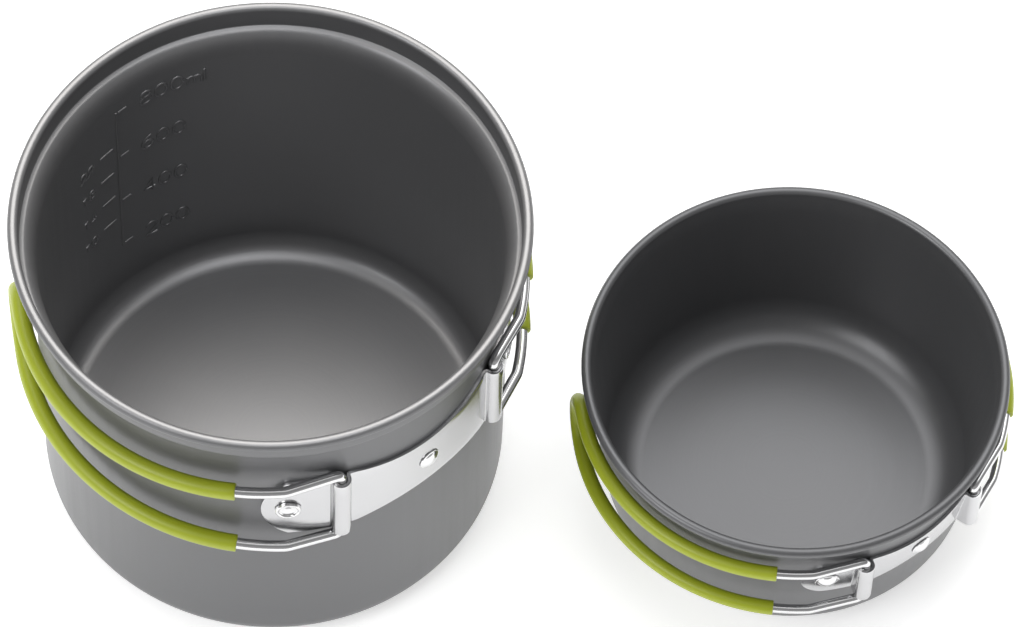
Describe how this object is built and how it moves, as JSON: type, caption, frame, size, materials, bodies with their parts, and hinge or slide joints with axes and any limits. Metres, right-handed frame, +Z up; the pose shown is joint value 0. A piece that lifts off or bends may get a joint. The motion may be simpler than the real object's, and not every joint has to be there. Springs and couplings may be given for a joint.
{
  "type": "camping cooking pot set",
  "caption": "Tall and low nesting camp cooking pots with rolled rims, riveted steel brackets and sleeved wire handles that fold round the walls.",
  "frame": {"origin": "centre of the tall pot's underside, on the plane both pots stand on", "axes": "+Z up along the tall pot's axis; +X towards the low pot beside it; -Y towards the front, where the brackets and folded handles show"},
  "size_m": [0.2496, 0.1283, 0.105],
  "materials": {
    "pot_metal": "hard-anodised, satin dark grey",
    "bracket_steel": "bright satin stainless",
    "rivet_steel": "bright stainless",
    "wire_steel": "polished stainless wire",
    "sleeve_rubber": "satin lime-green silicone"
  },
  "bodies": {
    "large_pot_body": {"large_pot": "pot_metal", "large_bracket": "bracket_steel", "large_centre_rivet": "rivet_steel", "large_left_rivet": "rivet_steel", "large_right_rivet": "rivet_steel"},
    "large_left_handle_body": {"large_left_handle": "wire_steel", "large_left_sleeve": "sleeve_rubber"},
    "large_right_handle_body": {"large_right_handle": "wire_steel", "large_right_sleeve": "sleeve_rubber"},
    "small_pot_body": {"small_pot": "pot_metal", "small_bracket": "bracket_steel", "small_centre_rivet": "rivet_steel", "small_left_rivet": "rivet_steel", "small_right_rivet": "rivet_steel"},
    "small_left_handle_body": {"small_left_handle": "wire_steel", "small_left_sleeve": "sleeve_rubber"},
    "small_right_handle_body": {"small_right_handle": "wire_steel", "small_right_sleeve": "sleeve_rubber"}
  },
  "joints": [
    {"name": "large_left_hinge", "type": "hinge", "parent": "large_pot_body", "child": "large_left_handle_body", "pos_m": [0.01995, -0.05632, 0.0675], "axis": [0, 0, 1], "range_deg": [0, 160]},
    {"name": "large_right_hinge", "type": "hinge", "parent": "large_pot_body", "child": "large_right_handle_body", "pos_m": [0.0552, -0.02286, 0.0675], "axis": [0, 0, -1], "range_deg": [0, 160]},
    {"name": "small_pot_lift", "type": "slide", "parent": "large_pot_body", "child": "small_pot_body", "axis": [0, 0, 1], "range_m": [0, 0.15]},
    {"name": "small_left_hinge", "type": "hinge", "parent": "small_pot_body", "child": "small_left_handle_body", "pos_m": [0.14863, -0.05165, 0.0325], "axis": [0, 0, 1], "range_deg": [0, 150]},
    {"name": "small_right_hinge", "type": "hinge", "parent": "small_pot_body", "child": "small_right_handle_body", "pos_m": [0.17503, -0.0291, 0.0325], "axis": [0, 0, -1], "range_deg": [0, 150]}
  ]
}
